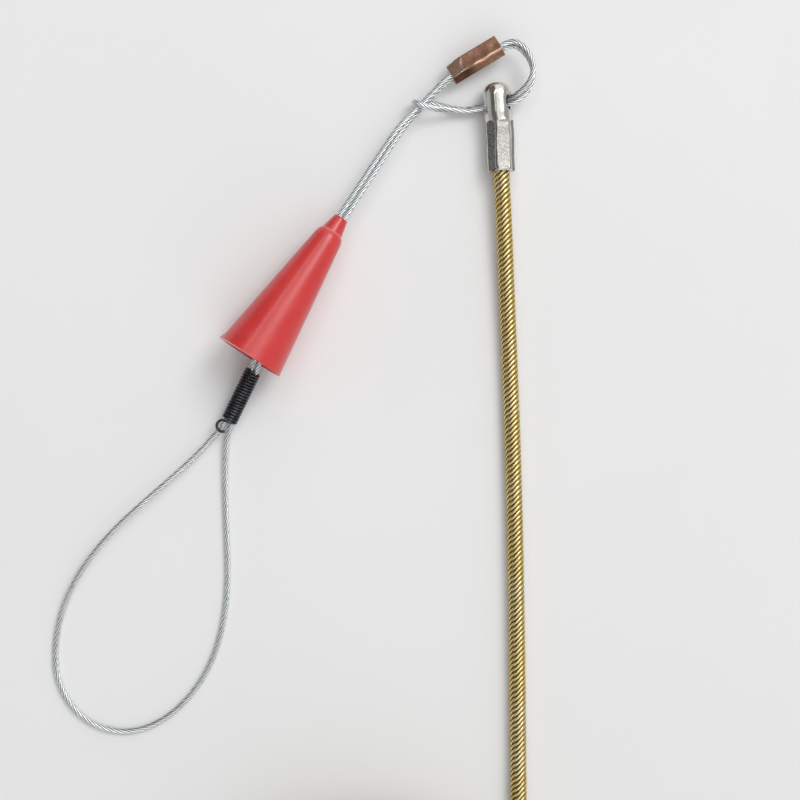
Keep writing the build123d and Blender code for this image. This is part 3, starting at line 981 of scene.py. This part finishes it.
def facing(a, b):
    """The way out of an anticlockwise outline's edge, as an angle."""
    return math.atan2(b.y - a.y, b.x - a.x) - math.pi / 2


def tie_loop(corners, radius):
    """A strap's line round the corners, at a radius from each."""
    steps = 8
    loop = []
    for i, corner in enumerate(corners):
        start = facing(corners[i - 1], corner)
        turn = (facing(corner, corners[(i + 1) % len(corners)]) - start) % (2 * math.pi)
        for step in range(steps + 1):
            b = start + turn * step / steps
            loop.append((corner.x + radius * math.cos(b), corner.y + radius * math.sin(b)))
    return loop


def make_ties():
    """Three flat straps round the stored turns."""
    thick, width, gap = 0.00055, 0.004, 0.00005
    levels = (gap, gap + thick * 0.3, gap + thick * 0.85, gap + thick)
    # Round a strap's section: (level, place across its width).
    outline = [(0, -0.5), (0, 0.5), (1, 0.5), (2, 0.5), (3, 0.46)]
    outline += [(3, 0.0), (3, -0.46), (2, -0.5), (1, -0.5)]
    ties = []
    for number, deg in enumerate(TIE_ANGLES):
        out, side = heading(deg), heading(deg + 90)
        corners = tie_corners(deg)
        loops = [tie_loop(corners, CABLE_D / 2 + level) for level in levels]
        rings = []
        for level, across in outline:
            shift = COIL_CENTRE + side * (across * width)
            rings.append([shift + out * x + UP * z for x, z in loops[level]])
        tie = ring_mesh(f"coil_tie_{number + 1}", rings, caps=False)
        tie.data.materials.append(tie_material())
        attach(tie, "shaft")
        ties.append(tie)
    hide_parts("coil_ties")
    return ties


def fitting_radius(s, angle):
    """Radius of the crimped fitting at a distance from its open end, in millimetres, and how far
    the press has cut in there."""
    chamfer, flare, bluntness = 0.3, 1.4, 2.4
    flats, first_flat, flat_r, run_out = 6, 41, 3.475, 0.704
    if s < chamfer:
        r = FITTING_BODY_R - chamfer + s
    elif s < FITTING_CRIMP_END:
        r = FITTING_BODY_R
    elif s < FITTING_CRIMP_END + flare:
        r = FITTING_BODY_R + (FITTING_NOSE_R - FITTING_BODY_R) * (s - FITTING_CRIMP_END) / flare
    elif s < FITTING_DOME_START:
        r = FITTING_NOSE_R
    else:
        # The dome is a little blunter than a ball.
        up = (s - FITTING_DOME_START) / FITTING_NOSE_R
        r = FITTING_NOSE_R * max(0.0, 1 - up**bluntness) ** (1 / bluntness)
    pressed = r
    for k in range(flats):
        middle = math.radians(first_flat + 360 * k / flats)
        off = (angle - middle + math.pi) % (2 * math.pi) - math.pi
        if abs(off) > 1.2:
            continue
        # The jaws bit unevenly: each flat wanders a little in depth along its length.
        wander = 0.09 * math.sin(s * 0.42 + k * 2.1) + 0.04 * math.sin(s * 1.1 + k)
        flat = flat_r + max(-0.02, wander) + max(0.0, s - FITTING_CRIMP_END + 1.0) * run_out
        pressed = min(pressed, flat / math.cos(off))
    return pressed, r - pressed


def fitting_shift(s):
    """How far the press pushed the crimped length aside, in millimetres."""
    return -0.25 * smooth((s - 4) / 6) * smooth((15.5 - s) / 2)


def fitting_rings():
    """Rings of the fitting before its eye is cut: the cable's bore, then the outside."""
    count, bore, tip_gap = 96, 2.27, 0.0005
    length, depth = FITTING_LENGTH * 1000, CABLE_BORE_DEPTH * 1000
    angles = [2 * math.pi * k / count for k in range(count)]
    rings = []
    for r, s in ((0.05, depth), (bore, depth), (bore, 0.0)):
        rings.append([Vector((r * math.cos(a), r * math.sin(a), s)) for a in angles])
    stations = [0.0, 0.15, 0.3] + [0.6 + i * 0.4 for i in range(32)]
    stations += [13.4 + i * 0.2 for i in range(14)] + [16.5 + i * 0.5 for i in range(9)]
    for deg in range(4, 90, 4):
        stations.append(FITTING_DOME_START + FITTING_NOSE_R * math.sin(math.radians(deg)))
    stations.append(length - tip_gap)
    for s in stations:
        ring = []
        for a in angles:
            r = fitting_radius(s, a)[0]
            p = Vector((r * math.cos(a), r * math.sin(a), s))
            p.x += fitting_shift(p.z)
            ring.append(p)
        rings.append(ring)
    return rings


def eye_cutter(name, roll):
    """The eye's shape: a straight throat that flares to both mouths, more to the right one."""
    throat, throat_r, right_flare, left_flare, outside = 2.3, 2.2, 0.85, 0.5, 8.0
    count = 64

    def flare(mouth_r):
        outline = [(throat_r, throat)]
        for deg in range(10, 71, 10):
            a = math.radians(deg)
            outline.append((throat_r + mouth_r * (1 - math.cos(a)), throat + mouth_r * math.sin(a)))
        return outline + [(outline[-1][0], outside)]

    profile = [(r, -x) for r, x in reversed(flare(right_flare))] + flare(left_flare)
    tilt = Matrix.Rotation(-roll, 4, "Z") @ Matrix.Rotation(math.pi / 2, 4, "Y")
    rings = []
    for r, x in profile:
        ring = []
        for k in range(count):
            a = 2 * math.pi * k / count
            p = tilt @ Vector((r * math.cos(a), r * math.sin(a), x))
            ring.append(p + Vector((0, 0, EYE_FROM_BASE * 1000)))
        rings.append(ring)
    return ring_mesh(name, rings)


def cut_and_soften(fitting, cutter):
    """Cuts the eye and rounds all edges softly, as plated edges are."""
    cut = fitting.modifiers.new("eye", "BOOLEAN")
    cut.operation = "DIFFERENCE"
    cut.object = cutter
    remesh = fitting.modifiers.new("even", "REMESH")
    remesh.mode = "VOXEL"
    remesh.voxel_size = 0.12
    soft = fitting.modifiers.new("soft", "SMOOTH")
    soft.factor = 0.5
    soft.iterations = 5
    depsgraph = bpy.context.evaluated_depsgraph_get()
    fitting.data = bpy.data.meshes.new_from_object(fitting.evaluated_get(depsgraph))
    fitting.modifiers.clear()
    bpy.data.objects.remove(cutter)


def fitting_finish(c, eye_way):
    """The finish at a place c: 0 polished, 1 bright grain, 2 grain darkened with painted shade or 3
    the eye's inside, in painted shade.
    """
    from_eye = c - Vector((0, 0, EYE_FROM_BASE * 1000))
    # Within this distance of the eye's axis, further at the right mouth, faces get the hole's painted
    # shade.
    eye_shade_r = 2.42 if from_eye.dot(eye_way) > 0 else 2.6
    if (from_eye - eye_way * from_eye.dot(eye_way)).length < eye_shade_r:
        return 3
    angle = math.atan2(c.y, c.x - fitting_shift(c.z))
    # The press left its grain on the flats, all within its reach. Those at the sides get the darker
    # copy of the grain, painted shade.
    reach, least_cut, outside_r = 14.6, 0.035, 3.0
    outside = Vector((c.x, c.y)).length > outside_r
    if c.z < reach and outside and fitting_radius(c.z, angle)[1] > least_cut:
        left = math.radians(-49) < angle < math.radians(71)
        right = angle > math.radians(131)
        return 2 if left or right else 1
    return 0


def make_fitting(name, node, body, base, axis, roll, finishes):
    """A bullet-nosed eye fitting, with six pressed flats on its crimped length."""
    fitting = ring_mesh(name, fitting_rings())
    cut_and_soften(fitting, eye_cutter(name + "_eye", roll))
    mesh = fitting.data
    mesh.materials.clear()
    for finish in finishes:
        mesh.materials.append(finish)
    eye_way = Vector((math.cos(roll), -math.sin(roll), 0))
    for face in mesh.polygons:
        face.use_smooth = True
        face.material_index = fitting_finish(face.center, eye_way)
    mesh.transform(frame_at(base, axis) @ Matrix.Scale(0.001, 4))
    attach(fitting, body)
    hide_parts(node)


def make_fittings():
    """The fitting at the snare and its twin on the cable's far end."""
    bright = pressed_nickel_material("nickel_pressed", 0.19, 0.52)
    # The darker copy of the grain, for the flats at the sides: painted shade.
    dull = pressed_nickel_material("nickel_pressed_shaded", 0.05, 0.35)
    finishes = [nickel_material(), bright, dull, eye_shade_material()]
    roll = math.radians(EYE_ROLL)
    near, far = fitting_axis, heading(180)
    make_fitting("end_fitting_body", "end_fitting", "shaft", FITTING_BASE, near, roll, finishes)
    roll = math.pi / 2
    make_fitting("far_fitting_body", "far_end_fitting", "shaft", FAR_FITTING_BASE, far, roll, finishes)


# ---- floor and light ----


def make_stage():
    """The surface that the object lies on, which isn't part of it."""
    bm = bmesh.new()
    bmesh.ops.create_grid(bm, x_segments=4, y_segments=4, size=1.5)
    floor = object_from("floor", bm)
    floor.data.materials.append(floor_material())


def area_light(name, place, target, size, energy, length_way):
    """A rectangular light that faces a target, with its second side along a direction."""
    data = bpy.data.lights.new(name, "AREA")
    data.shape = "RECTANGLE"
    data.size, data.size_y = size
    data.energy = energy
    light = bpy.data.objects.new(name, data)
    bpy.context.collection.objects.link(light)
    z = (Vector(place) - Vector(target)).normalized()
    x = Vector(length_way).cross(z).normalized()
    y = z.cross(x)
    light.location = place
    light.rotation_euler = Matrix((x, y, z)).transposed().to_euler()


def make_lights():
    """Three lamps and the room round them."""
    area_light("key", (0.6, 0.6, 1.0), (0.03, 0.0, 0.0), (0.6, 0.6), 5.7, (-1, 1, 0))
    # A narrow window along the cone's length, up and to the left of it.
    area_light("window", (-0.18, 0.38, 0.72), (0.0, 0.026, 0.01), (0.11, 0.4), 0.33, cone_axis)
    area_light("fill", (-0.3, -0.3, 0.5), (0.0, -0.03, 0.0), (0.3, 0.3), 0.16, (1, -1, 0))
    make_world()
    bpy.context.scene.view_settings.view_transform = "Standard"


def make_world():
    """The room from left to right: a grey wall, a dark one, a broad bright ceiling, and a grey
    wall again."""
    stops = [(0.0, 0.5), (0.06, 0.42), (0.1, 0.12), (0.35, 0.12)]
    stops += [(0.42, 1.0), (0.8, 1.0), (0.87, 0.35), (1.0, 0.42)]
    world = bpy.data.worlds.new("studio")
    bpy.context.scene.world = world
    world.use_nodes = True
    tree = world.node_tree
    tree.nodes.clear()
    background = tree.nodes.new("ShaderNodeBackground")
    out = tree.nodes.new("ShaderNodeOutputWorld")
    coords = tree.nodes.new("ShaderNodeTexCoord")
    parts = tree.nodes.new("ShaderNodeSeparateXYZ")
    ramp = tree.nodes.new("ShaderNodeValToRGB")
    # From -1..1, left to right, to the ramp's 0..1.
    half = tree.nodes.new("ShaderNodeMath")
    half.operation = "MULTIPLY_ADD"
    half.inputs[1].default_value = 0.5
    half.inputs[2].default_value = 0.5
    set_stops(ramp, stops)
    background.inputs["Strength"].default_value = 1.07
    tree.links.new(coords.outputs["Generated"], parts.inputs[0])
    tree.links.new(parts.outputs["X"], half.inputs[0])
    tree.links.new(half.outputs[0], ramp.inputs[0])
    tree.links.new(ramp.outputs[0], background.inputs["Color"])
    tree.links.new(background.outputs[0], out.inputs[0])


make_rope()
make_fittings()
make_cable(make_ties())
make_guide_cone()
make_lock_spring()
make_ferrule()
make_stage()
make_lights()
